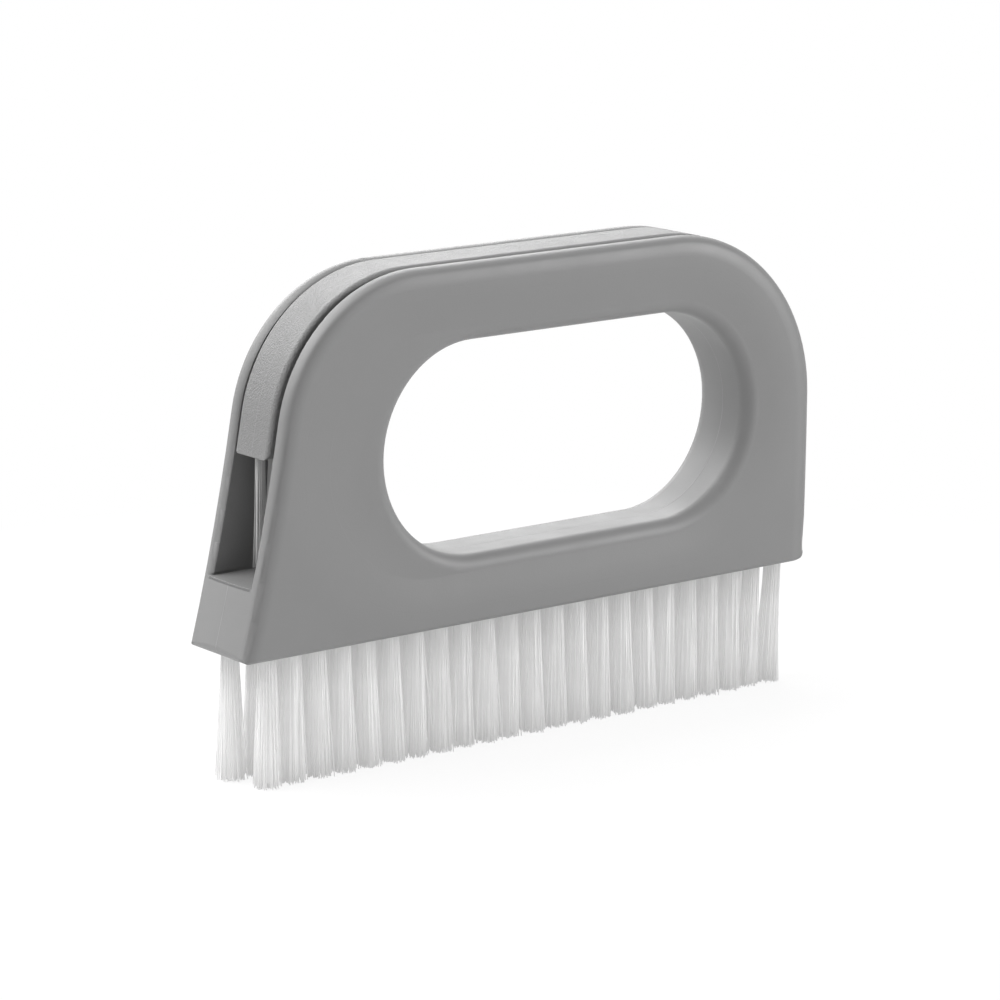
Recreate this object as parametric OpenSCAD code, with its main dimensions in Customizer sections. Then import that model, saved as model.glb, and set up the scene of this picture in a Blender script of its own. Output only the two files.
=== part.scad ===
// Grout brush: a one-piece moulded handle with a finger hole, two rows of bristle
// tufts along its foot, and a slim crevice brush stowed in a slot round its outer edge.
// Millimetres. X runs along the brush, Y through its thickness with the front towards -Y,
// and Z up. The bristle tips rest on Z = 0 and the handle's length is centred on X = 0.

/* [Handle] */
// Length of the handle
handle_length = 144.2; // [136:0.2:160]
// Height of the moulding, without bristles
handle_height = 72.9; // [70:0.1:80]
// Thickness of the moulding
handle_thickness = 19; // [18:0.1:24]
// Radius between the flat faces and the outer edge
edge_radius = 1.5; // [1:0.1:1.5]
// Radius of the crown across the outer edge
crown_radius = 90; // [60:5:200]
// Radius of the upper left corner
left_corner_radius = 32.6; // [28:0.1:36]
// Radius of the upper right corner
right_corner_radius = 37.1; // [32:0.1:40]
// Radius of the slight bulge of the right end below that corner
right_end_radius = 1050; // [700:10:3000]
// Straightness of the hollow flare below that corner: a higher number is straighter
flare_straightness = 8; // [6:1:12]
// Radius of the lower left corner
left_foot_radius = 2; // [1:0.1:3]
// Radius of the lower right corner
right_foot_radius = 4.2; // [2:0.1:6]
// Bevel along the foot's two long edges
foot_bevel = 0.5; // [0.3:0.1:1]

/* [Finger hole] */
// Height of the hole
hole_height = 43.2; // [36:0.2:44]
// Distance from the left end of the foot to the hole
hole_start_margin = 36.2; // [36:0.1:44]
// Distance from the right end to the hole
hole_end_margin = 16.6; // [14:0.1:22]
// Height of the hole's centre above the foot
hole_centre_height = 34.9; // [34:0.1:38]
// Radius round the hole's two edges
hole_edge_radius = 3; // [1:0.1:4]
// Depth of the dished surround
dish_depth = 1.1; // [0.6:0.1:2]
// Width of the dish's slope
dish_slope_width = 6.6; // [4:0.1:7]
// How much farther the dish runs on the left
dish_left_extension = 11.3; // [0:0.1:14]

/* [Storage slot] */
// Width of the slot between the two cheeks
slot_width = 13.6; // [12:0.1:13.8]
// Rounding of the cheeks' inner edges
lip_radius = 1.2; // [0.6:0.1:1.2]
// Height of the slot's floor above the foot
slot_floor_height = 14.2; // [12:0.1:16]
// Wall left round the finger hole
tunnel_wall = 3; // [2:0.1:4]
// How far the slot's floor runs in from the left end
slot_floor_length = 35.5; // [30:0.5:37]
// Angle of the slot's right end above the horizontal, in degrees
slot_end_angle = 27; // [20:1:40]

/* [Crevice brush] */
// Width of the crevice brush's back
back_width = 11; // [8:0.1:11.4]
// How far the back lies below the crown of the handle's edge
back_drop = 0.3; // [0:0.1:1]
// Thickness of the back's cap
cap_thickness = 4; // [3:0.1:5]
// Rounding of the cap's long edges
cap_edge_radius = 0.9; // [0.5:0.1:1.8]
// Rounding of the cap's lower end, seen from the left
cap_end_radius = 1.6; // [0.5:0.1:2.5]
// Thickness of the web under the cap
web_thickness = 4; // [3:0.1:6]
// Height of the head's underside above the foot
head_underside_height = 38.2; // [36:0.1:42]
// Height of the head block
head_height = 13; // [11:0.1:15]
// Length of the head block in from the left end
head_length = 30.6; // [29:0.1:32]
// Gap under the back, to the wall round the finger hole
seat_gap = 0.4; // [0.3:0.1:0.6]
// Gap from the guide ribs to each cheek
guide_gap = 0.4; // [0.3:0.1:0.6]
// Length of a guide rib along the back
guide_length = 4; // [2:0.5:6]
// Height of a guide rib
guide_height = 4.5; // [3:0.5:5]
// Distance between guide ribs along the grip
guide_spacing = 27; // [20:1:28]
// Angle between the back's right end and the slot's end, in degrees
back_end_clearance = 2; // [1:0.5:4]

/* [Main bristles] */
// Least distance from the last tuft's middle to the right end
last_tuft_margin = 4.6; // [4:0.1:8]
// Spacing of the tufts along a row
tuft_pitch = 5.89; // [5.2:0.01:5.95]
// Distance between the two rows
row_distance = 8.3; // [7:0.1:9]
// Place of the front row's first tuft, from the left end
first_tuft_offset = 9.7; // [9:0.1:12]
// Diameter of the hole that a tuft is set in
tuft_hole_diameter = 3.8; // [3.2:0.1:4.4]
// Depth of that hole
tuft_hole_depth = 9; // [7:0.5:10]
// Free length of the bristles
bristle_length = 26.8; // [20:0.2:35]
// Width of one strand, corner to corner
strand_width = 0.8; // [0.5:0.05:0.8]
// Radius of the ring of strand tips
tip_ring_radius = 2.4; // [1.6:0.05:2.5]

/* [Crevice bristles] */
// Number of tufts in the single row
crevice_tufts = 6; // [3:1:6]
// Spacing of those tufts
crevice_pitch = 3.1; // [3:0.05:3.2]
// Place of the first of them, from the left end
first_crevice_offset = 11.6; // [11.5:0.1:12]
// Diameter of the hole that a crevice tuft is set in
crevice_hole_diameter = 2.2; // [2:0.1:2.2]
// Depth of that hole
crevice_hole_depth = 4.5; // [4:0.5:5]
// Free length of the crevice bristles
crevice_bristle_length = 22.4; // [16:0.2:23]
// Width of one crevice strand, corner to corner
crevice_strand_width = 0.5; // [0.3:0.05:0.55]
// Radius of the ring of crevice strand tips
crevice_tip_ring_radius = 1.1; // [0.8:0.05:1.2]

/* [Tuft setting] */
// Number of strands in the ring of each tuft, round one in the middle
ring_strands = 8; // [6:1:8]
// Gap round a tuft's root in its hole
root_gap = 0.1; // [0.05:0.01:0.15]
// Thickness of the flat wire anchor that holds a tuft
anchor_thickness = 0.35; // [0.25:0.05:0.5]
// Height of that anchor
anchor_height = 2; // [1.5:0.1:2.5]
// Gap round the anchor in the root
anchor_gap = 0.1; // [0.05:0.01:0.15]

/* [Hidden] */
$fn = 96;
overlap = 1;
beyond = 100;

foot_z = bristle_length;
right_x = handle_length / 2;
half_thickness = handle_thickness / 2;

// The outline is a flare at the left, two corner arcs and straight runs between them.
left_corner_z = foot_z + handle_height - left_corner_radius;
right_corner_z = foot_z + handle_height - right_corner_radius;
right_corner_x = right_x - right_corner_radius;

// The flare and the left corner are tangent. Their centres are whole multiples of 63.51,
// 11.2 and 64.49 apart, a right triangle with whole sides when taken times a hundred, so
// that the two sweeps meet on exact numbers.
centre_run = 63.51 * flare_straightness;
centre_rise = 11.2 * flare_straightness;
flare_radius = 64.49 * flare_straightness - left_corner_radius;
end_lean = atan(centre_rise / centre_run);
flare_z = left_corner_z + centre_rise;
foot_lean = asin((flare_z - foot_z) / flare_radius);

// The foot's left corner as it would be without its rounding, to a hundredth of a millimetre.
foot_corner_reach = left_foot_radius * (1 / tan((90 - foot_lean) / 2) - 1);
flare_x = round(100 * (-handle_length / 2 - foot_corner_reach - flare_radius * cos(foot_lean))) / 100;
left_x = flare_x + flare_radius * cos(foot_lean);
left_corner_x = flare_x + centre_run;
top_run = right_corner_x - left_corner_x;
past_seam_angle = 1;
head_lean = asin((flare_z - (foot_z + head_underside_height)) / flare_radius);
short_of_end_angle = 1;
entry_angle = 12;

// The edge rounding is tangent to the crown, so it starts this far in.
round_centre_y = half_thickness - edge_radius;
lip_y = slot_width / 2;
lip_x = sqrt(pow(crown_radius, 2) - pow(lip_y + lip_radius, 2)) - crown_radius;
round_inset = crown_radius - sqrt(pow(crown_radius - edge_radius, 2) - pow(round_centre_y, 2));
tangent_y = round_centre_y * crown_radius / (crown_radius - edge_radius);
plate_inset = round_inset + 2;
rim_depth = 2 * plate_inset;

// The right end's bulge is tangent to the right corner and sweeps on to below the foot.
right_end_x = right_x - right_end_radius;
right_end_sweep = ceil(asin((right_corner_z - foot_z + overlap) / right_end_radius));
right_foot_x = right_end_x
    + sqrt(pow(right_end_radius, 2) - pow(right_corner_z - foot_z - right_foot_radius, 2));

// The lower left corner circle touches the foot and the flare.
left_foot_x = flare_x + sqrt(pow(flare_radius + left_foot_radius, 2)
    - pow(flare_z - foot_z - left_foot_radius, 2));

hole_radius = hole_height / 2;
hole_z = foot_z + hole_centre_height;
hole_right_x = right_x - hole_end_margin - hole_radius;
hole_left_x = left_x + hole_start_margin + hole_radius;
dish_left_x = hole_left_x - dish_left_extension;
dish_floor_y = half_thickness - dish_depth;
dish_floor_radius = hole_radius + hole_edge_radius;
dish_face_radius = dish_floor_radius + dish_slope_width;
dish_slope = dish_slope_width / dish_depth;
hole_round_y = dish_floor_y - hole_edge_radius;

tunnel_radius = hole_radius + tunnel_wall;
slot_floor_z = foot_z + slot_floor_height;
slot_floor_end_x = left_x + slot_floor_length;

seat_radius = tunnel_radius + seat_gap;
head_z = foot_z + head_underside_height;
head_end_x = left_x + head_length;
back_end_angle = slot_end_angle + back_end_clearance;
web_drop = 0.8;
web_end_angle = 2;
guide_width = slot_width - 2 * guide_gap;
guide_count = 3;
grip_middle_x = (hole_left_x + hole_right_x) / 2;

crevice_tip_z = head_z - crevice_bristle_length;
tuft_root_radius = tuft_hole_diameter / 2 - root_gap;
crevice_root_radius = crevice_hole_diameter / 2 - root_gap;

tufts_per_row = floor((right_x - left_x - first_tuft_offset - last_tuft_margin) / tuft_pitch) + 1;

function two_digits(i) = str(i < 10 ? "0" : "", i);
function tuft_name(row, i) = str(row, "_tuft_", two_digits(i));
function front_tuft_x(i) = left_x + first_tuft_offset + (i - 1) * tuft_pitch;
function rear_tuft_x(i) = front_tuft_x(i) - tuft_pitch / 2;
function crevice_tuft_x(i) = left_x + first_crevice_offset + (i - 1) * crevice_pitch;

// Cross-section of the handle's outer edge: it reaches out along X and is centred on Y.
module edge_section(reach) translate([reach, 0]) {
    translate([-rim_depth, -half_thickness]) square([rim_depth - round_inset, handle_thickness]);
    for (side = [-1, 1]) translate([-round_inset, side * round_centre_y]) circle(edge_radius);
    intersection() {
        translate([-crown_radius, 0]) circle(crown_radius);
        translate([-rim_depth, -tangent_y]) square([rim_depth + overlap, 2 * tangent_y]);
    }
}

// Cross-section of the crevice brush's cap, with its outer surface at reach.
module cap_section(reach) translate([reach, 0]) {
    half_width = back_width / 2;
    translate([-cap_thickness, -half_width])
        square([cap_thickness - cap_edge_radius, back_width]);
    translate([-cap_thickness, cap_edge_radius - half_width])
        square([cap_thickness, back_width - 2 * cap_edge_radius]);
    for (side = [-1, 1])
        translate([-cap_edge_radius, side * (half_width - cap_edge_radius)])
            circle(cap_edge_radius);
}

// Section that rounds the cheeks' inner edges, for an outer edge at reach.
module lip_section(reach) translate([reach, 0])
    for (side = [0, 1]) mirror([0, side]) translate([lip_x, lip_y]) corner_cutter(lip_radius);

// Sweeps a section round a centre in the XZ plane, from one angle to another.
module arc_sweep(x, z, from, to)
    translate([x, 0, z]) rotate([90, 0, 0])
        rotate_extrude(angle = to - from, start = from) children();

// Sweeps a section along X, with its reach pointing up.
module top_sweep(x, z, length)
    translate([x, 0, z]) rotate([0, 0, 90]) rotate([90, 0, 0]) mirror([1, 0, 0])
        rotate([0, 0, 90]) linear_extrude(height = length) children();

// Gives an outline in the XZ plane a thickness, centred on Y.
module plate(thickness)
    translate([0, thickness / 2, 0]) rotate([90, 0, 0])
        linear_extrude(height = thickness) children();

module stadium(from_x, to_x, z, radius) {
    translate([from_x, z]) circle(radius);
    translate([to_x, z]) circle(radius);
    translate([from_x, z - radius]) square([to_x - from_x, 2 * radius]);
}

// Turns a section to face the flare's centre, with its outer surface at the given radius.
module flare_section(radius)
    translate([radius, 0]) mirror([1, 0]) children();

// Everything above the plane where the flare meets the left corner.
module above_seam()
    translate([left_corner_x, 0, left_corner_z]) rotate([0, end_lean, 0])
        translate([-beyond / 2, -handle_thickness, 0])
            cube([beyond, 2 * handle_thickness, beyond]);

// Sweeps a section down the flare, from the left corner to a lean at its lower end.
module flare_sweep(lower_lean) difference() {
    arc_sweep(flare_x, flare_z, -lower_lean - past_seam_angle, -end_lean + past_seam_angle)
        flare_section(flare_radius) children();
    above_seam();
}

module left_corner_sweep() intersection() {
    arc_sweep(left_corner_x, left_corner_z, 90, 180 - end_lean + past_seam_angle) children();
    above_seam();
}

// The rim of the handle, all round but for the foot.
module handle_edge() {
    flare_sweep(foot_lean) edge_section(0);
    left_corner_sweep() edge_section(left_corner_radius);
    top_sweep(left_corner_x, left_corner_z, top_run) edge_section(left_corner_radius);
    arc_sweep(right_corner_x, right_corner_z, 0, 90) edge_section(right_corner_radius);
    arc_sweep(right_end_x, right_corner_z, -right_end_sweep, 0) edge_section(right_end_radius);
}

// What lies inside the rim. Its outline turns the corners in a few straight steps.
module handle_core() {
    turn_step = 15;
    left_turn = left_corner_radius - plate_inset;
    right_turn = right_corner_radius - plate_inset;
    plate(handle_thickness) polygon(concat(
        [[left_x + plate_inset, foot_z]],
        [for (angle = [180:-turn_step:90])
            [left_corner_x + left_turn * cos(angle), left_corner_z + left_turn * sin(angle)]],
        [for (angle = [90 - turn_step / 2:-turn_step:turn_step / 2])
            [right_corner_x + right_turn * cos(angle), right_corner_z + right_turn * sin(angle)]],
        [[right_corner_x + right_turn * cos(turn_step / 2), foot_z]]
    ));
}

// Region that rounds off a right-hand lower corner at the origin. Its circle stands a
// little proud of both sides, so that it crosses them at the entry angle.
module corner_cutter(radius, rise = 0) {
    stand = radius * (1 - cos(entry_angle));
    difference() {
        translate([stand - radius, -overlap])
            square([radius + overlap, radius - stand + rise + overlap]);
        translate([stand - radius, radius - stand]) circle(radius);
    }
}

// Rounds the handle's two lower corners and bevels the foot's long edges.
module foot_cutters() {
    plate(handle_thickness + 2 * overlap) {
        translate([right_foot_x, foot_z]) corner_cutter(right_foot_radius);
        translate([left_foot_x - left_foot_radius, foot_z]) mirror([1, 0])
            corner_cutter(left_foot_radius, left_foot_radius * sin(foot_lean));
    }
    for (side = [0, 1]) mirror([0, side, 0])
        translate([left_x - overlap, 0, 0]) rotate([0, 0, 90]) rotate([90, 0, 0])
            linear_extrude(height = handle_length + 2 * overlap) polygon([
                [half_thickness - foot_bevel, foot_z],
                [half_thickness + overlap, foot_z + foot_bevel + overlap],
                [half_thickness + overlap, foot_z - overlap],
                [half_thickness - foot_bevel, foot_z - overlap]
            ]);
}

// One side of the finger hole's section, with the rounding of both edges.
module hole_section() {
    reach = hole_radius + hole_edge_radius;
    difference() {
        translate([0, -half_thickness - overlap])
            square([reach, handle_thickness + 2 * overlap]);
        translate([hole_radius, -hole_round_y])
            square([hole_edge_radius + overlap, 2 * hole_round_y]);
        for (side = [-1, 1]) translate([reach, side * hole_round_y]) circle(hole_edge_radius);
    }
}

module finger_hole() {
    arc_sweep(hole_left_x, hole_z, 90, 270) hole_section();
    arc_sweep(hole_right_x, hole_z, -90, 90) hole_section();
    top_sweep(hole_left_x, hole_z, hole_right_x - hole_left_x) {
        hole_section();
        mirror([1, 0]) hole_section();
    }
}

// The shallow dish on the front; the rear one is its mirror image.
module dish() {
    cone_height = dish_depth + overlap;
    outer_radius = dish_floor_radius + dish_slope * cone_height;
    for (x = [dish_left_x, hole_right_x])
        translate([x, -dish_floor_y, hole_z]) rotate([90, 0, 0])
            cylinder(h = cone_height, r1 = dish_floor_radius, r2 = outer_radius);
    translate([dish_left_x, 0, hole_z]) rotate([0, 0, 90]) rotate([90, 0, 0])
        linear_extrude(height = hole_right_x - dish_left_x) polygon([
            [-dish_floor_y, -dish_floor_radius],
            [-dish_floor_y, dish_floor_radius],
            [-dish_floor_y - cone_height, outer_radius],
            [-dish_floor_y - cone_height, -outer_radius]
        ]);
}

// Region swept by the slot or by what fits in it: round the left end, over the top and
// down to an end angle on the right corner.
module slot_region(floor_z, floor_end_x, end_angle) {
    end_reach = 2 * right_corner_radius;
    difference() {
        union() {
            translate([left_x - overlap, floor_z])
                square([floor_end_x - left_x + overlap, foot_z + handle_height + overlap - floor_z]);
            translate([floor_end_x - overlap, hole_z])
                square([right_corner_x - floor_end_x + overlap,
                    foot_z + handle_height + overlap - hole_z]);
            polygon([
                [right_corner_x, right_corner_z],
                [right_corner_x + end_reach * cos(end_angle),
                    right_corner_z + end_reach * sin(end_angle)],
                [right_corner_x + end_reach * cos(end_angle),
                    foot_z + handle_height + overlap],
                [right_corner_x, foot_z + handle_height + overlap]
            ]);
        }
        children();
    }
}

module storage_slot()
    plate(slot_width) slot_region(slot_floor_z, slot_floor_end_x, slot_end_angle)
        stadium(hole_left_x, hole_right_x, hole_z, tunnel_radius);

// Rounds the cheeks' inner edges from the slot's floor to just short of its right end.
module slot_lips() {
    difference() {
        flare_sweep(foot_lean) lip_section(0);
        translate([left_x - beyond / 2, -handle_thickness, slot_floor_z - beyond])
            cube([beyond, 2 * handle_thickness, beyond]);
    }
    left_corner_sweep() lip_section(left_corner_radius);
    top_sweep(left_corner_x, left_corner_z, top_run) lip_section(left_corner_radius);
    arc_sweep(right_corner_x, right_corner_z, slot_end_angle + short_of_end_angle, 90)
        lip_section(right_corner_radius);
}

module tuft_holes(radius, depth, bottom_z) {
    for (i = [1:tufts_per_row]) {
        translate([front_tuft_x(i), -row_distance / 2, bottom_z - overlap])
            cylinder(h = depth + overlap, r = radius);
        translate([rear_tuft_x(i), row_distance / 2, bottom_z - overlap])
            cylinder(h = depth + overlap, r = radius);
    }
}

module handle_body() color([0.56, 0.56, 0.57])
    difference() {
        union() {
            handle_edge();
            handle_core();
        }
        translate([left_x - beyond / 2, -handle_thickness, foot_z - beyond])
            cube([handle_length + beyond, 2 * handle_thickness, beyond]);
        foot_cutters();
        finger_hole();
        dish();
        mirror([0, 1, 0]) dish();
        storage_slot();
        slot_lips();
        tuft_holes(tuft_hole_diameter / 2, tuft_hole_depth, foot_z);
    }

// The cap follows the handle's outline, a little below its crown.
module back_cap() {
    difference() {
        union() {
            flare_sweep(head_lean) cap_section(-back_drop);
            left_corner_sweep() cap_section(left_corner_radius - back_drop);
            top_sweep(left_corner_x, left_corner_z, top_run)
                cap_section(left_corner_radius - back_drop);
            arc_sweep(right_corner_x, right_corner_z, back_end_angle, 90)
                cap_section(right_corner_radius - back_drop);
        }
        back_end_cutters();
    }
}

// Cuts the lower end of the back level and rounds it as seen from the left.
module back_end_cutters() {
    translate([left_x, -slot_width / 2, head_z - beyond])
        cube([head_end_x - left_x + overlap, slot_width, beyond]);
    for (side = [0, 1]) mirror([0, side, 0])
        translate([left_x, back_width / 2, head_z]) rotate([0, 0, 90]) rotate([90, 0, 0])
            linear_extrude(height = head_end_x - left_x + overlap) corner_cutter(cap_end_radius);
}

// Outline of what lies under the cap, kept clear of the wall round the finger hole.
module under_cap(inset) {
    intersection() {
        union() {
            translate([left_corner_x, left_corner_z]) circle(left_corner_radius - back_drop - inset);
            translate([left_corner_x, left_corner_z])
                square([top_run, left_corner_radius - back_drop - inset - web_drop]);
            translate([right_corner_x, right_corner_z]) circle(right_corner_radius - back_drop - inset);
        }
        slot_region(head_z, head_end_x, back_end_angle + web_end_angle)
            stadium(hole_left_x, hole_right_x, hole_z, seat_radius);
    }
}

module back_head() {
    difference() {
        plate(back_width) intersection() {
            under_cap(cap_thickness / 2);
            translate([left_x, head_z]) square([head_end_x - left_x, head_height]);
        }
        back_end_cutters();
    }
}

// Ribs that centre the back between the cheeks, hidden below the cap.
module guide_ribs() {
    rib_z = hole_z + seat_radius;
    for (i = [0:guide_count - 1])
        translate([grip_middle_x + (i - (guide_count - 1) / 2) * guide_spacing - guide_length / 2,
            -guide_width / 2, rib_z])
            cube([guide_length, guide_width, guide_height]);
}

module crevice_back() color([0.58, 0.58, 0.59])
    difference() {
        union() {
            back_cap();
            back_head();
            plate(web_thickness) under_cap(cap_thickness / 2);
            guide_ribs();
        }
        for (i = [1:crevice_tufts])
            translate([crevice_tuft_x(i), 0, head_z - overlap])
                cylinder(h = crevice_hole_depth + overlap, r = crevice_hole_diameter / 2);
    }

// One strand from the root ring out to the tip ring, as a slim square prism.
module strand(angle, root_ring, tip_ring, length, width) {
    lean = atan((tip_ring - root_ring) / length);
    rotate([0, 0, angle]) translate([root_ring, 0, 0]) rotate([0, 180 - lean, 0])
        translate([0, 0, -overlap]) cylinder(h = length / cos(lean) + 2 * overlap, d = width, $fn = 4);
}

// A tuft hangs from Z = 0: a root that sits in its hole, and strands cut level at their tips.
module tuft(root_radius, root_length, length, width, tip_ring) {
    root_ring = root_radius - width / 2 - root_gap;
    slot_height = anchor_height + anchor_gap;
    difference() {
        cylinder(h = root_length, r = root_radius);
        translate([-root_radius - overlap, -anchor_thickness / 2 - anchor_gap,
            root_length - slot_height])
            cube([2 * (root_radius + overlap), anchor_thickness + 2 * anchor_gap,
                slot_height + overlap]);
    }
    intersection() {
        union() {
            strand(0, 0, 0, length, width);
            for (i = [0:ring_strands - 1])
                strand(i * 360 / ring_strands, root_ring, tip_ring, length, width);
        }
        translate([-beyond / 2, -beyond / 2, -length]) cube([beyond, beyond, length + overlap]);
    }
}

module anchor(root_radius, root_length)
    translate([-root_radius, -anchor_thickness / 2, root_length - anchor_height])
        cube([2 * root_radius, anchor_thickness, anchor_height]);

module main_tuft(x, y) color([0.93, 0.93, 0.91])
    translate([x, y, foot_z]) tuft(tuft_root_radius, tuft_hole_depth - root_gap,
        bristle_length, strand_width, tip_ring_radius);

module crevice_tuft(x) color([0.93, 0.93, 0.91])
    translate([x, 0, head_z]) tuft(crevice_root_radius, crevice_hole_depth - root_gap,
        crevice_bristle_length, crevice_strand_width, crevice_tip_ring_radius);

module main_anchors() color("silver")
    for (i = [1:tufts_per_row]) {
        translate([front_tuft_x(i), -row_distance / 2, foot_z])
            anchor(tuft_root_radius, tuft_hole_depth - root_gap);
        translate([rear_tuft_x(i), row_distance / 2, foot_z])
            anchor(tuft_root_radius, tuft_hole_depth - root_gap);
    }

module crevice_anchors() color("silver")
    for (i = [1:crevice_tufts])
        translate([crevice_tuft_x(i), 0, head_z])
            anchor(crevice_root_radius, crevice_hole_depth - root_gap);

handle_body();
crevice_back();
main_anchors();
crevice_anchors();
for (i = [1:tufts_per_row]) {
    main_tuft(front_tuft_x(i), -row_distance / 2);
    main_tuft(rear_tuft_x(i), row_distance / 2);
}
for (i = [1:crevice_tufts])
    crevice_tuft(crevice_tuft_x(i));
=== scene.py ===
"""Looks for the grout brush: plastics, bristles, camera, floor and lights round the fixed frame."""

import math
from typing import NamedTuple

import bpy
import numpy as np
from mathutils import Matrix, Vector


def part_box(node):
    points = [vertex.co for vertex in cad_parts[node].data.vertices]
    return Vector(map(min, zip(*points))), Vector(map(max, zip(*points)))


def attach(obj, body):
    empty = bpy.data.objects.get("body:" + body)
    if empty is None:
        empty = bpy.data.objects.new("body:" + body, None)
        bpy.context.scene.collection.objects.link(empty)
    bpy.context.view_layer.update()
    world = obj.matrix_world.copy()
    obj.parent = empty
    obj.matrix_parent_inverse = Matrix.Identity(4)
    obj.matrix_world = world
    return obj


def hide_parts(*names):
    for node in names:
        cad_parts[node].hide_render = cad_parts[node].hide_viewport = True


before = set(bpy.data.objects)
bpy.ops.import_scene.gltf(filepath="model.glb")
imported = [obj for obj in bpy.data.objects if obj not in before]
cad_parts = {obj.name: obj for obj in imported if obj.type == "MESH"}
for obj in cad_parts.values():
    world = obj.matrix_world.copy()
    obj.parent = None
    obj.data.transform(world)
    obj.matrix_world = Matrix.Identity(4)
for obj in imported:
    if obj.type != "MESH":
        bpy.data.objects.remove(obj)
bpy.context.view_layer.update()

MM = 0.001
SEED = 20817


# Node helpers
class Shader:
    """Builds one material's node tree with short calls."""

    def __init__(self, name):
        self.material = bpy.data.materials.new(name)
        self.material.use_nodes = True
        self.tree = self.material.node_tree
        self.principled = self.tree.nodes["Principled BSDF"]
        self.place = self.node("ShaderNodeTexCoord").outputs["Object"]

    def node(self, kind, **values):
        made = self.tree.nodes.new(kind)
        for key, value in values.items():
            setattr(made, key, value)
        return made

    def link(self, source, target):
        self.tree.links.new(source, target)

    def feed(self, socket, value):
        if isinstance(value, bpy.types.NodeSocket):
            self.link(value, socket)
        else:
            socket.default_value = value

    def math(self, operation, *inputs, clamp=False):
        made = self.node("ShaderNodeMath", operation=operation, use_clamp=clamp)
        for socket, value in zip(made.inputs, inputs):
            self.feed(socket, value)
        return made.outputs[0]

    def stretch(self, scale):
        made = self.node("ShaderNodeMapping")
        made.inputs["Scale"].default_value = scale
        self.link(self.place, made.inputs["Vector"])
        return made.outputs[0]

    def noise(self, size, detail=2.0, rough=0.5, place=None):
        """Noise with features of about the given size in metres."""
        made = self.node("ShaderNodeTexNoise")
        self.feed(made.inputs["Vector"], place or self.place)
        made.inputs["Scale"].default_value = 1 / size
        made.inputs["Detail"].default_value = detail
        made.inputs["Roughness"].default_value = rough
        return made.outputs["Fac"]

    def spread(self, value, low, high, to_low, to_high, smooth=False):
        """Maps low to high onto the other two numbers and clamps what lies beyond."""
        made = self.node("ShaderNodeMapRange", interpolation_type="SMOOTHSTEP" if smooth else "LINEAR")
        self.feed(made.inputs["Value"], value)
        for key, number in (("From Min", low), ("From Max", high), ("To Min", to_low), ("To Max", to_high)):
            self.feed(made.inputs[key], number)
        return made.outputs[0]

    def blend_colour(self, amount, first, second):
        made = self.node("ShaderNodeMix", data_type="RGBA")
        self.feed(made.inputs["Factor"], amount)
        self.feed(made.inputs["A"], first)
        self.feed(made.inputs["B"], second)
        return made.outputs["Result"]

    def axes(self):
        made = self.node("ShaderNodeSeparateXYZ")
        self.link(self.place, made.inputs[0])
        return made.outputs

    def bump(self, height, distance, normal=None, strength=1.0):
        made = self.node("ShaderNodeBump")
        self.feed(made.inputs["Strength"], strength)
        made.inputs["Distance"].default_value = distance
        self.link(height, made.inputs["Height"])
        if normal is not None:
            self.link(normal, made.inputs["Normal"])
        return made.outputs[0]

    def emboss(self, height, normal, strength=1.0):
        """Bump by a height that is itself in metres."""
        return self.bump(self.math("MULTIPLY", height, 1 / MM), 1 * MM, normal, strength)

    def set(self, **values):
        for key, value in values.items():
            self.feed(self.principled.inputs[key.replace("_", " ")], value)


# Most of a noise texture's values lie between these two.
NOISE_LOW, NOISE_HIGH = 0.3, 0.7


def grey(level, warmth=0.0):
    """A near-neutral colour, a little warmer for a positive warmth."""
    return (level * (1 + warmth), level, level * (1 - warmth), 1)


# Plastics
PLASTIC_IOR = 1.49
CLOUD_SIZE = 14 * MM
CLOUD_SHARE = 0.6
TONE_CHANGE = 0.03
GLOSS_PATCH_SIZE = 6 * MM
SMOOTHER, ROUGHER = 0.03, 0.04
PARTING_Y = -0.3 * MM
PARTING_HALF_WIDTH = 0.14 * MM
PARTING_HEIGHT = 0.05 * MM
# The parting ridge is real, but its colour is also lightened: a painted highlight along it.
PARTING_HIGHLIGHT_SHARE = 0.45
PARTING_HIGHLIGHT_LIGHTNESS = 1.5


def parting_ridge(s):
    """A fine ridge where the mould's halves met, all round the mid-plane."""
    across = s.math("ABSOLUTE", s.math("SUBTRACT", s.axes()["Y"], PARTING_Y))
    return s.spread(across, 0, PARTING_HALF_WIDTH, 1, 0)


def moulded_plastic(name, level, grain_size, grain_depth, rough, edge):
    """Satin moulded plastic: grain, faint clouding, a parting line with a painted highlight, and softly
    rounded edges.
    """
    s = Shader(name)
    cloud = s.noise(CLOUD_SIZE, detail=3)
    grain = s.noise(grain_size, detail=3, rough=0.6)
    ridge = parting_ridge(s)
    tone = s.math("ADD", s.math("MULTIPLY", cloud, CLOUD_SHARE), s.math("MULTIPLY", grain, 1 - CLOUD_SHARE))
    body = s.blend_colour(tone, grey(level * (1 - TONE_CHANGE)), grey(level * (1 + TONE_CHANGE)))
    # Painted highlight: the colour along the parting ridge is lightened, as if the ridge caught the light.
    painted_highlight = s.math("MULTIPLY", ridge, PARTING_HIGHLIGHT_SHARE)
    gloss = s.noise(GLOSS_PATCH_SIZE, detail=4)
    s.set(
        Base_Color=s.blend_colour(painted_highlight, body, grey(level * PARTING_HIGHLIGHT_LIGHTNESS)),
        Roughness=s.spread(gloss, NOISE_LOW, NOISE_HIGH, rough - SMOOTHER, rough + ROUGHER),
    )
    rounded = s.node("ShaderNodeBevel", samples=6)
    rounded.inputs["Radius"].default_value = edge
    grained = s.bump(grain, grain_depth, rounded.outputs[0])
    s.surface = s.bump(ridge, PARTING_HEIGHT, grained)
    s.set(Normal=s.surface)
    s.principled.inputs["IOR"].default_value = PLASTIC_IOR
    return s


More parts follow.
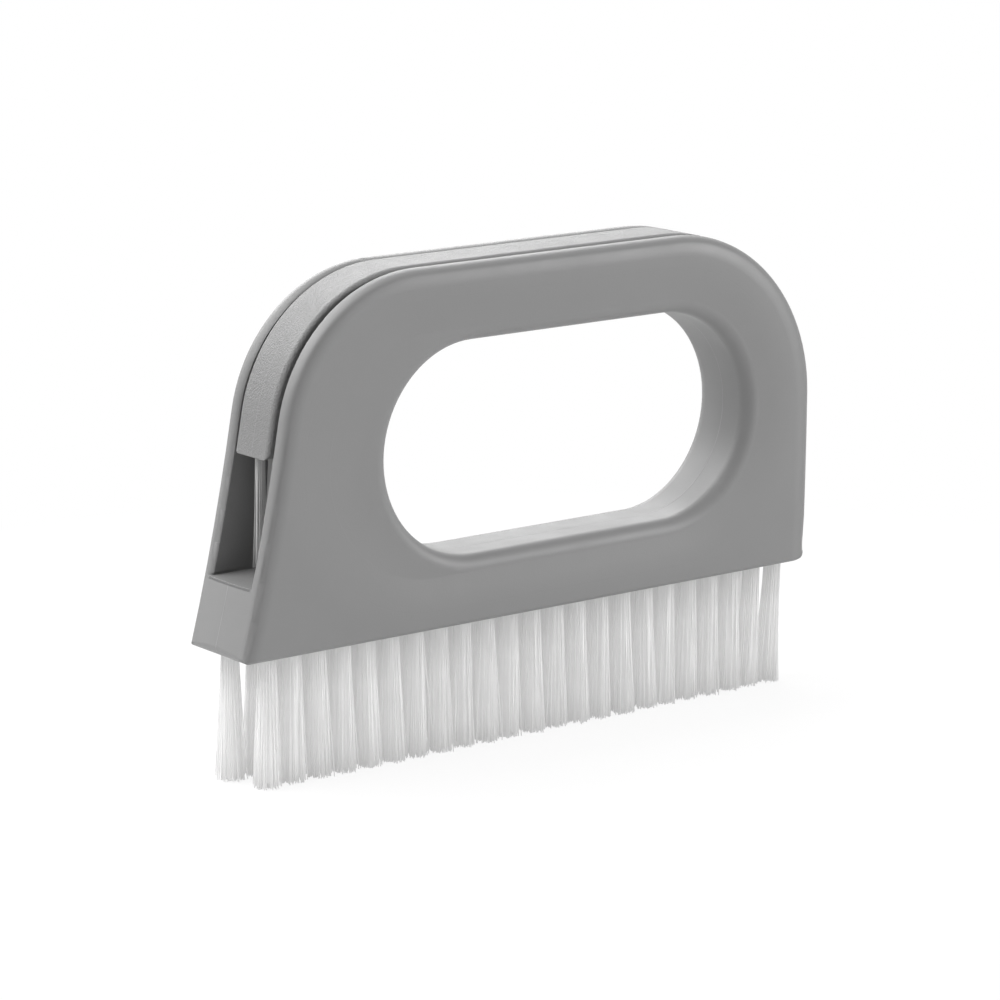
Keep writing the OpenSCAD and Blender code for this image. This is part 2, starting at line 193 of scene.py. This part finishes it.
# The outline, the dish round the finger hole and the slot, as the handle's CAD solid has them.
# A circle is the X and Z of its centre and its radius.
LEFT_CORNER = (-30.19 * MM, 67.1 * MM, 32.6 * MM)
FLARE = (-538.27 * MM, 156.7 * MM, 483.32 * MM)
SEAM_LEAN = math.atan2(FLARE[1] - LEFT_CORNER[1], LEFT_CORNER[0] - FLARE[0])
RIGHT_CORNER = (35.0 * MM, 62.6 * MM, 37.1 * MM)
RIGHT_END_RADIUS = 1050 * MM
DISH_LEFT_X = -26.235 * MM
DISH_RIGHT_X = 33.9 * MM
DISH_Z = 61.7 * MM
DISH_FLOOR_RADIUS = 24.6 * MM
DISH_FACE_RADIUS = 31.2 * MM
DISH_DEPTH = 1.1 * MM
SLOT_FLOOR_Z = 41.0 * MM
LIP_Y = 6.8 * MM
LIP_RADIUS = 1.2 * MM

# How far the shading blends each form. A Y is how far from the mid-plane a blend applies.
DISH_BLEND = 3.4 * MM
LEFT_BLEND_OUT = 5 * MM
LEFT_BLEND_IN = 8 * MM
LEFT_BLEND_START = 2 * MM
LEFT_BLEND_FULL = 16 * MM
DISH_START_Y = 8.3 * MM
ROLL_WIDTH = 4.5 * MM
ROLL_DEPTH = 1.7 * MM
ROLL_START_Y = 7.6 * MM
ROLL_FULL_Y = 8.6 * MM
CREST_REACH = 9 * MM
CREST_SHARE = 0.8
CREST_FADE = 0.5 * MM


def distance_to(s, x, z, centre_x, centre_z):
    across, up = s.math("SUBTRACT", x, centre_x), s.math("SUBTRACT", z, centre_z)
    return s.math("SQRT", s.math("ADD", s.math("MULTIPLY", across, across), s.math("MULTIPLY", up, up)))


def edge_distance(s, x, z):
    """How far in from the handle's outline a point lies, seen from the front."""
    corner_x, corner_z, radius = RIGHT_CORNER
    bow = s.math("MINIMUM", s.math("SUBTRACT", z, corner_z), 0)
    right = s.math("SUBTRACT", radius, distance_to(
        s, s.math("MAXIMUM", x, corner_x), s.math("MAXIMUM", z, corner_z), corner_x, corner_z))
    right = s.math("SUBTRACT", right, s.math("DIVIDE", s.math("MULTIPLY", bow, bow), 2 * RIGHT_END_RADIUS))

    corner_x, corner_z, radius = LEFT_CORNER
    corner = s.math("SUBTRACT", radius, distance_to(
        s, s.math("MINIMUM", x, corner_x), s.math("MAXIMUM", z, corner_z), corner_x, corner_z))
    flare_x, flare_z, flare_radius = FLARE
    flare = s.math("SUBTRACT", distance_to(s, x, z, flare_x, flare_z), flare_radius)
    above_seam = s.math(
        "GREATER_THAN",
        s.math("MULTIPLY", s.math("SUBTRACT", z, corner_z), math.cos(SEAM_LEAN)),
        s.math("MULTIPLY", s.math("SUBTRACT", corner_x, x), math.sin(SEAM_LEAN)),
    )
    left = s.math(
        "ADD",
        s.math("MULTIPLY", above_seam, corner),
        s.math("MULTIPLY", s.math("SUBTRACT", 1, above_seam), flare),
    )
    return s.math("MINIMUM", left, right)


def dish_relief(s, x, z, thickness):
    """The height that blends the dish's slope into the faces, where the solid has edges."""
    middle = (DISH_LEFT_X + DISH_RIGHT_X) / 2
    half = (DISH_RIGHT_X - DISH_LEFT_X) / 2
    beyond = s.math("MAXIMUM", s.math("SUBTRACT", s.math("ABSOLUTE", s.math("SUBTRACT", x, middle)), half), 0)
    distance = distance_to(s, beyond, z, 0, DISH_Z)
    slope = DISH_DEPTH / (DISH_FACE_RADIUS - DISH_FLOOR_RADIUS)
    sharp = s.math("MULTIPLY", s.math("MAXIMUM", s.math("SUBTRACT", DISH_FACE_RADIUS, distance), 0), slope)

    # Most of the way round, the slope runs into the hole's rounding, so only its outer edge is blended.
    share = s.math(
        "MULTIPLY", s.math("SUBTRACT", DISH_FACE_RADIUS + DISH_BLEND, distance), 0.5 / DISH_BLEND, clamp=True)
    straight = s.math("MAXIMUM", s.math("SUBTRACT", DISH_FACE_RADIUS - DISH_BLEND, distance), 0)
    soft = s.math(
        "ADD",
        s.math("MULTIPLY", s.math("MULTIPLY", share, share), slope * DISH_BLEND),
        s.math("MULTIPLY", straight, slope),
    )
    near = s.math("SUBTRACT", sharp, soft)

    # On the left, where the hole is far from the slope, both of the slope's edges melt into the face.
    broad = s.spread(
        distance, DISH_FACE_RADIUS + LEFT_BLEND_OUT, DISH_FLOOR_RADIUS - LEFT_BLEND_IN,
        0.0, DISH_DEPTH, smooth=True)
    far = s.math("SUBTRACT", s.math("MINIMUM", sharp, DISH_DEPTH), broad)
    leftness = s.spread(x, DISH_LEFT_X + LEFT_BLEND_START, DISH_LEFT_X - LEFT_BLEND_FULL, 0, 1)
    dish = s.math("ADD", near, s.math("MULTIPLY", s.math("SUBTRACT", far, near), leftness))
    return s.math("MULTIPLY", dish, s.math("GREATER_THAN", thickness, DISH_START_Y))


def crest_relief(s, z, thickness, inward):
    """The height that flattens the rounded inner edges of the cheeks, above the slot's floor."""
    lip = s.math("DIVIDE", s.math("SUBTRACT", LIP_Y + LIP_RADIUS, thickness), LIP_RADIUS, clamp=True)
    fallen = s.math("SUBTRACT", 1, s.math("SQRT", s.math("SUBTRACT", 1, s.math("MULTIPLY", lip, lip))))
    near_edge = s.spread(inward, LIP_RADIUS, CREST_REACH, 1, 0)
    above_floor = s.spread(z, SLOT_FLOOR_Z - CREST_FADE, SLOT_FLOOR_Z + CREST_FADE, 0, 1)
    share = s.math("MULTIPLY", near_edge, above_floor)
    return s.math("MULTIPLY", s.math("MULTIPLY", fallen, share), CREST_SHARE * LIP_RADIUS)


def rim_relief(s, inward):
    """The height of a soft roll from the faces to the rim."""
    fall = s.spread(inward, 0, ROLL_WIDTH, 1, 0)
    return s.math("MULTIPLY", s.math("MULTIPLY", fall, fall), -ROLL_DEPTH)


def soften_forms(s):
    """Blends the dish and the rim into the faces, and flattens the cheeks' crests."""
    x, y, z = (s.axes()[key] for key in "XYZ")
    thickness = s.math("ABSOLUTE", y)
    inward = edge_distance(s, x, z)
    forms = s.math("ADD", dish_relief(s, x, z, thickness), crest_relief(s, z, thickness, inward))
    near_face = s.spread(thickness, ROLL_START_Y, ROLL_FULL_Y, 0, 1)
    s.set(Normal=s.emboss(rim_relief(s, inward), s.emboss(forms, s.surface), near_face))


handle_plastic = moulded_plastic(
    "handle_plastic", level=0.193, grain_size=0.35 * MM, grain_depth=0.02 * MM, rough=0.47, edge=0.45 * MM)
soften_forms(handle_plastic)
crevice_plastic = moulded_plastic(
    "crevice_plastic", level=0.168, grain_size=0.36 * MM, grain_depth=0.24 * MM, rough=0.45, edge=0.2 * MM)


# Nylon and steel
NYLON_IOR = 1.53
NYLON_STREAKS = (2600, 2600, 60)
NYLON_STREAK_LEVEL = 0.93
NYLON_ROUGHNESS = (0.42, 0.58)
NYLON_SKIN_SIZE = 0.12 * MM
NYLON_SKIN_DEPTH = 0.004 * MM
NYLON_LIGHT_SHARE = 0.17
NYLON_LIGHT_DEPTH = 0.15 * MM
# The dark grey and the share by which the tufts' colour is darkened as painted shade.
PAINTED_SHADE_LEVEL = 0.05
PAINTED_SHADE_SHARE = 0.3
SHADED_FROM_Z = 17 * MM
SHADED_FULLY_Z = 27 * MM
STEEL_SCRATCHES = (400, 9000, 9000)
STEEL_SCRATCH_DEPTH = 0.005 * MM
STEEL_DARK, STEEL_BRIGHT = 0.5, 0.66
STEEL_ROUGHNESS = (0.28, 0.45)


def nylon(name, level, painted_glow):
    """Translucent near-white filament, with streaks along it, some of the light inside it, a painted glow,
    and painted shade near the foot and in the slot.
    """
    s = Shader(name)
    streak = s.noise(1.0, detail=2, place=s.stretch(NYLON_STREAKS))
    streaks = s.spread(streak, NOISE_LOW, NOISE_HIGH, 0, 1)
    plain = s.blend_colour(streaks, grey(level * NYLON_STREAK_LEVEL, warmth=0.004), grey(level, warmth=0.002))
    # Painted shade: next to the foot, and all the way up in the slot, the colour is darkened for the shade
    # between the tufts, which the glow would hide.
    painted_shade = s.spread(s.axes()["Z"], SHADED_FROM_Z, SHADED_FULLY_Z, 0, PAINTED_SHADE_SHARE)
    s.set(
        Base_Color=s.blend_colour(painted_shade, plain, grey(PAINTED_SHADE_LEVEL)),
        Roughness=s.spread(streak, NOISE_LOW, NOISE_HIGH, *NYLON_ROUGHNESS),
        Normal=s.bump(s.noise(NYLON_SKIN_SIZE, detail=1), NYLON_SKIN_DEPTH),
    )
    s.principled.inputs["IOR"].default_value = NYLON_IOR
    # Painted light: a white glow stands in for light passing through the translucent tufts.
    s.principled.inputs["Emission Color"].default_value = (1, 1, 1, 1)
    s.principled.inputs["Emission Strength"].default_value = painted_glow
    s.principled.inputs["Subsurface Weight"].default_value = NYLON_LIGHT_SHARE
    s.principled.inputs["Subsurface Radius"].default_value = (1, 1, 1)
    s.principled.inputs["Subsurface Scale"].default_value = NYLON_LIGHT_DEPTH
    return s


def drawn_steel(name):
    """Flat wire, scratched along its length."""
    s = Shader(name)
    scratch = s.noise(1.0, detail=3, place=s.stretch(STEEL_SCRATCHES))
    s.set(
        Base_Color=s.blend_colour(scratch, grey(STEEL_DARK), grey(STEEL_BRIGHT)),
        Roughness=s.spread(scratch, NOISE_LOW, NOISE_HIGH, *STEEL_ROUGHNESS),
        Metallic=1.0,
        Normal=s.bump(scratch, STEEL_SCRATCH_DEPTH),
    )
    return s


bristle_nylon = nylon("bristle_nylon", level=0.63, painted_glow=0.21)
# The crevice tufts' nylon is a darker copy of the bristle nylon, with less glow: painted shade for the tufts
# in the slot.
crevice_nylon_painted_shade = nylon("crevice_nylon_painted_shade", level=0.4, painted_glow=0.05)
anchor_steel = drawn_steel("anchor_steel")

NODE_LOOKS = {
    "handle_body": handle_plastic,
    "crevice_back": crevice_plastic,
    "main_anchors": anchor_steel,
    "crevice_anchors": anchor_steel,
}
for node_name, look in NODE_LOOKS.items():
    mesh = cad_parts[node_name].data
    mesh.materials.clear()
    mesh.materials.append(look.material)


# Bristles
FOOT_Z = 26.8 * MM
HEAD_Z = 65.0 * MM
ROOT_INSIDE = 3 * MM
# Share of their spacing by which the roots stray from a regular grid.
ROOT_SHUFFLE = 0.08
FILAMENT_SIDES = 5
CORE_SIDES = 24
# Shares of the way from root to tip at which a filament has its rings.
LEVELS = np.array((0.0, 0.18, 0.42, 0.7, 1.0))
SPLAY_POWER = 1.15
TIP_SCATTER = 0.4 * MM
STRAY_SCATTER = 1.3 * MM
BOW = 0.07 * MM
CORE_END = 0.95
CORE_SHARE = 0.84
CORE_SPLAY = 0.9
CORE_UNEVENNESS = 0.04
# The last tufts of each row lean in towards the others.
END_LEAN = 1.6 * MM
END_LEAN_POWER = 8
CREVICE_LEAN = -0.5 * MM
TUFTS_PER_ROW = sum(name.startswith("front_tuft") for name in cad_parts)


class TuftKind(NamedTuple):
    """What the tufts of one brush have in common."""
    body: str
    look: Shader
    root_z: float
    root_radius: float
    spacing: float
    filament: float
    tip_spread: float
    ragged: float
    strays: float
    lean: float


MAIN = TuftKind(
    "main_brush", bristle_nylon, FOOT_Z, root_radius=1.88 * MM, spacing=0.26 * MM, filament=0.11 * MM,
    tip_spread=1.4, ragged=0.28 * MM, strays=0.006, lean=0.18 * MM)
CREVICE = TuftKind(
    "crevice_brush", crevice_nylon_painted_shade, HEAD_Z, root_radius=1.05 * MM, spacing=0.25 * MM, filament=0.1 * MM,
    tip_spread=1.2, ragged=0.15 * MM, strays=0, lean=0.1 * MM)


def packed_disc(radius, spacing, random):
    """Slightly shuffled hexagonal places inside a disc."""
    places = []
    rows = int(radius / (spacing * math.sqrt(0.75))) + 1
    for row in range(-rows, rows + 1):
        y = row * spacing * math.sqrt(0.75)
        for column in range(-rows - 1, rows + 2):
            x = (column + (row % 2) / 2) * spacing
            if math.hypot(x, y) <= radius:
                places.append((x, y))
    places = np.array(places)
    return places + random.normal(0, spacing * ROOT_SHUFFLE, places.shape)


def add_tubes(points, faces, paths, radii, sides):
    """Adds closed tubes; paths is an array of tube, step and coordinate, radii one of tube, step and side."""
    count, steps, _ = paths.shape
    along = np.gradient(paths, axis=1)
    along /= np.linalg.norm(along, axis=2, keepdims=True)
    side = np.cross(along, (0.0, 1.0, 0.0))
    side /= np.linalg.norm(side, axis=2, keepdims=True)
    other = np.cross(along, side)
    turn = np.arange(sides) * 2 * math.pi / sides
    ring = (
        side[:, :, None, :] * np.cos(turn)[None, None, :, None]
        + other[:, :, None, :] * np.sin(turn)[None, None, :, None]
    )
    start = len(points)
    points.extend((paths[:, :, None, :] + radii[..., None] * ring).reshape(-1, 3).tolist())
    for tube in range(count):
        first = start + tube * steps * sides
        for step in range(steps - 1):
            a = first + step * sides
            for k in range(sides):
                n = (k + 1) % sides
                faces.append((a + k, a + sides + k, a + sides + n, a + n))
        last = first + (steps - 1) * sides
        faces.append(tuple(first + k for k in range(sides)))
        faces.append(tuple(last + k for k in reversed(range(sides))))


def add_filaments(points, faces, kind, centre, tip_z, sweep, random):
    """Adds a tuft's filaments, which splay from their hole to their tips."""
    roots = packed_disc(kind.root_radius - kind.filament, kind.spacing, random)
    count = len(roots)
    tips = roots * kind.tip_spread + random.normal(0, TIP_SCATTER, roots.shape) + sweep
    stray = random.random(count) < kind.strays
    tips[stray] += random.normal(0, STRAY_SCATTER, (stray.sum(), 2))
    bow = random.normal(0, BOW, roots.shape)
    tip_heights = tip_z + kind.filament + np.abs(random.normal(0, kind.ragged, count))
    steps = 1 + len(LEVELS)
    paths = np.zeros((count, steps, 3))
    paths[:, 0, :2] = centre + roots
    paths[:, 0, 2] = kind.root_z + ROOT_INSIDE
    for step, t in enumerate(LEVELS):
        bent = roots + (tips - roots) * t ** SPLAY_POWER + bow * 4 * t * (1 - t)
        paths[:, step + 1, :2] = centre + bent
        paths[:, step + 1, 2] = kind.root_z + (tip_heights - kind.root_z) * t
    add_tubes(points, faces, paths, np.full((count, steps, FILAMENT_SIDES), kind.filament), FILAMENT_SIDES)


def add_core(points, faces, kind, centre, tip_z, sweep, random):
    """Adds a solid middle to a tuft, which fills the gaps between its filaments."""
    steps = 1 + len(LEVELS)
    radius = CORE_SHARE * (kind.root_radius - kind.filament)
    path = np.zeros((1, steps, 3))
    radii = np.zeros((1, steps, CORE_SIDES))
    unevenness = 1 + random.normal(0, CORE_UNEVENNESS, CORE_SIDES)
    path[0, 0] = (*centre, kind.root_z + ROOT_INSIDE)
    radii[0, 0] = radius
    for step, t in enumerate(LEVELS * CORE_END):
        path[0, step + 1, :2] = centre + sweep * t ** SPLAY_POWER
        path[0, step + 1, 2] = kind.root_z + (tip_z - kind.root_z) * t
        splay = 1 + CORE_SPLAY * (kind.tip_spread - 1) * t ** SPLAY_POWER
        radii[0, step + 1] = radius * splay * unevenness
    add_tubes(points, faces, path, radii, CORE_SIDES)


def make_tuft(node, kind, sweep, random):
    """Puts a bunch of filaments in place of a CAD tuft and where its node is."""
    low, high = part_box(node)
    centre = np.array([(low.x + high.x) / 2, (low.y + high.y) / 2])
    points, faces = [], []
    add_filaments(points, faces, kind, centre, low.z, sweep, random)
    add_core(points, faces, kind, centre, low.z, sweep, random)

    mesh = bpy.data.meshes.new(node + "_filaments")
    mesh.from_pydata(points, [], faces)
    mesh.polygons.foreach_set("use_smooth", np.array([len(face) == 4 for face in faces]))
    mesh.materials.append(kind.look.material)
    mesh.update()
    piece = bpy.data.objects.new(node + "_filaments", mesh)
    bpy.context.scene.collection.objects.link(piece)
    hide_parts(node)
    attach(piece, kind.body)


for number, node_name in enumerate(sorted(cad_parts)):
    random = np.random.default_rng(SEED + number)
    if node_name.startswith(("front_tuft", "rear_tuft")):
        lean = random.normal(0, MAIN.lean, 2)
        lean[0] -= END_LEAN * (int(node_name[-2:]) / TUFTS_PER_ROW) ** END_LEAN_POWER
        make_tuft(node_name, MAIN, lean, random)
    if node_name.startswith("crevice_tuft"):
        lean = random.normal(0, CREVICE.lean, 2) + np.array([CREVICE_LEAN, 0])
        make_tuft(node_name, CREVICE, lean, random)


# Floor, light and camera
FLOOR_HALF_SIZE = 3.0
FLOOR_LEVEL = 0.86
FLOOR_ROUGHNESS = 0.9
FLOOR_SHINE = 0.1
# The eye sees the floor near the object as white by this share only, so that a faint shadow shows.
WHITE_SHARE = 0.85
SHADOW_REACH = 0.08
ALL_WHITE_FROM = 0.22
WORLD_LEVEL = 0.35

# Each lamp's place, the point it faces, its width and height, and its power in watts.
LAMPS = {
    "rear_top": ((0.2, 0.9, 0.6), (0, 0, 0.07), (1.2, 0.6), 8.6),
    "left_top": ((-0.5, 0.25, 0.85), (0, 0, 0.07), (0.9, 0.9), 13.5),
    "right_front": ((0.7, -0.6, 0.4), (0, 0, 0.05), (0.5, 0.5), 6),
}

CAMERA_AZIMUTH = -37.448
CAMERA_ELEVATION = 12.76
CAMERA_TARGET = (-3.13 * MM, 0, 48.21 * MM)
CAMERA_DISTANCE = 797.46 * MM
# Blender takes the lens and the sensor in millimetres.
CAMERA_LENS = 142.4
CAMERA_SENSOR = 36


def white_to_the_eye(tree, surface, white, share):
    """Shows plain white to camera, glossy and transmission rays by a given or linked share."""
    path = tree.nodes.new("ShaderNodeLightPath")
    seen = path.outputs["Is Camera Ray"]
    for other in ("Is Glossy Ray", "Is Transmission Ray"):
        join = tree.nodes.new("ShaderNodeMath")
        join.operation = "MAXIMUM"
        tree.links.new(seen, join.inputs[0])
        tree.links.new(path.outputs[other], join.inputs[1])
        seen = join.outputs[0]
    amount = tree.nodes.new("ShaderNodeMath")
    amount.operation = "MULTIPLY"
    tree.links.new(seen, amount.inputs[0])
    if isinstance(share, bpy.types.NodeSocket):
        tree.links.new(share, amount.inputs[1])
    else:
        amount.inputs[1].default_value = share
    mix = tree.nodes.new("ShaderNodeMixShader")
    tree.links.new(amount.outputs[0], mix.inputs[0])
    tree.links.new(surface, mix.inputs[1])
    tree.links.new(white, mix.inputs[2])
    return mix.outputs[0]


def floor_material():
    """A pale floor that is seen as white, but for a faint shadow next to the object."""
    material = bpy.data.materials.new("floor")
    material.use_nodes = True
    tree = material.node_tree
    principled = tree.nodes["Principled BSDF"]
    principled.inputs["Base Color"].default_value = grey(FLOOR_LEVEL)
    principled.inputs["Roughness"].default_value = FLOOR_ROUGHNESS
    principled.inputs["Specular IOR Level"].default_value = FLOOR_SHINE
    white = tree.nodes.new("ShaderNodeEmission")
    white.inputs["Strength"].default_value = 1
    place = tree.nodes.new("ShaderNodeTexCoord").outputs["Object"]
    distance = tree.nodes.new("ShaderNodeVectorMath")
    distance.operation = "LENGTH"
    tree.links.new(place, distance.inputs[0])
    share = tree.nodes.new("ShaderNodeMapRange")
    for key, number in (
        ("From Min", SHADOW_REACH), ("From Max", ALL_WHITE_FROM), ("To Min", WHITE_SHARE), ("To Max", 1.0),
    ):
        share.inputs[key].default_value = number
    tree.links.new(distance.outputs["Value"], share.inputs["Value"])
    seen = white_to_the_eye(tree, principled.outputs[0], white.outputs[0], share.outputs[0])
    tree.links.new(seen, tree.nodes["Material Output"].inputs["Surface"])
    return material


def make_floor():
    size = FLOOR_HALF_SIZE
    mesh = bpy.data.meshes.new("floor")
    corners = [(-size, -size, 0), (size, -size, 0), (size, size, 0), (-size, size, 0)]
    mesh.from_pydata(corners, [], [(0, 1, 2, 3)])
    mesh.materials.append(floor_material())
    floor = bpy.data.objects.new("floor", mesh)
    bpy.context.scene.collection.objects.link(floor)


def make_world():
    """An even fill that is seen as white."""
    world = bpy.data.worlds.new("studio")
    bpy.context.scene.world = world
    world.use_nodes = True
    tree = world.node_tree
    fill = tree.nodes["Background"]
    white = tree.nodes.new("ShaderNodeBackground")
    for background, level in ((fill, WORLD_LEVEL), (white, 1)):
        background.inputs["Color"].default_value = (1, 1, 1, 1)
        background.inputs["Strength"].default_value = level
    seen = white_to_the_eye(tree, fill.outputs[0], white.outputs[0], 1.0)
    tree.links.new(seen, tree.nodes["World Output"].inputs["Surface"])


def make_lamp(name, place, target, size, power):
    data = bpy.data.lights.new(name, "AREA")
    data.shape = "RECTANGLE"
    data.size, data.size_y = size
    data.energy = power
    lamp = bpy.data.objects.new(name, data)
    lamp.location = place
    lamp.rotation_euler = (Vector(target) - Vector(place)).to_track_quat("-Z", "Y").to_euler()
    bpy.context.scene.collection.objects.link(lamp)


def make_camera():
    azimuth, elevation = math.radians(CAMERA_AZIMUTH), math.radians(CAMERA_ELEVATION)
    back = Vector((
        math.sin(azimuth) * math.cos(elevation),
        -math.cos(azimuth) * math.cos(elevation),
        math.sin(elevation),
    ))
    data = bpy.data.cameras.new("camera")
    data.sensor_width = CAMERA_SENSOR
    data.lens = CAMERA_LENS
    camera = bpy.data.objects.new("camera", data)
    camera.location = Vector(CAMERA_TARGET) + back * CAMERA_DISTANCE
    camera.rotation_euler = (-back).to_track_quat("-Z", "Y").to_euler()
    bpy.context.scene.collection.objects.link(camera)
    bpy.context.scene.camera = camera


make_floor()
make_world()
for lamp_name, settings in LAMPS.items():
    make_lamp(lamp_name, *settings)
make_camera()
bpy.context.scene.view_settings.view_transform = "Standard"
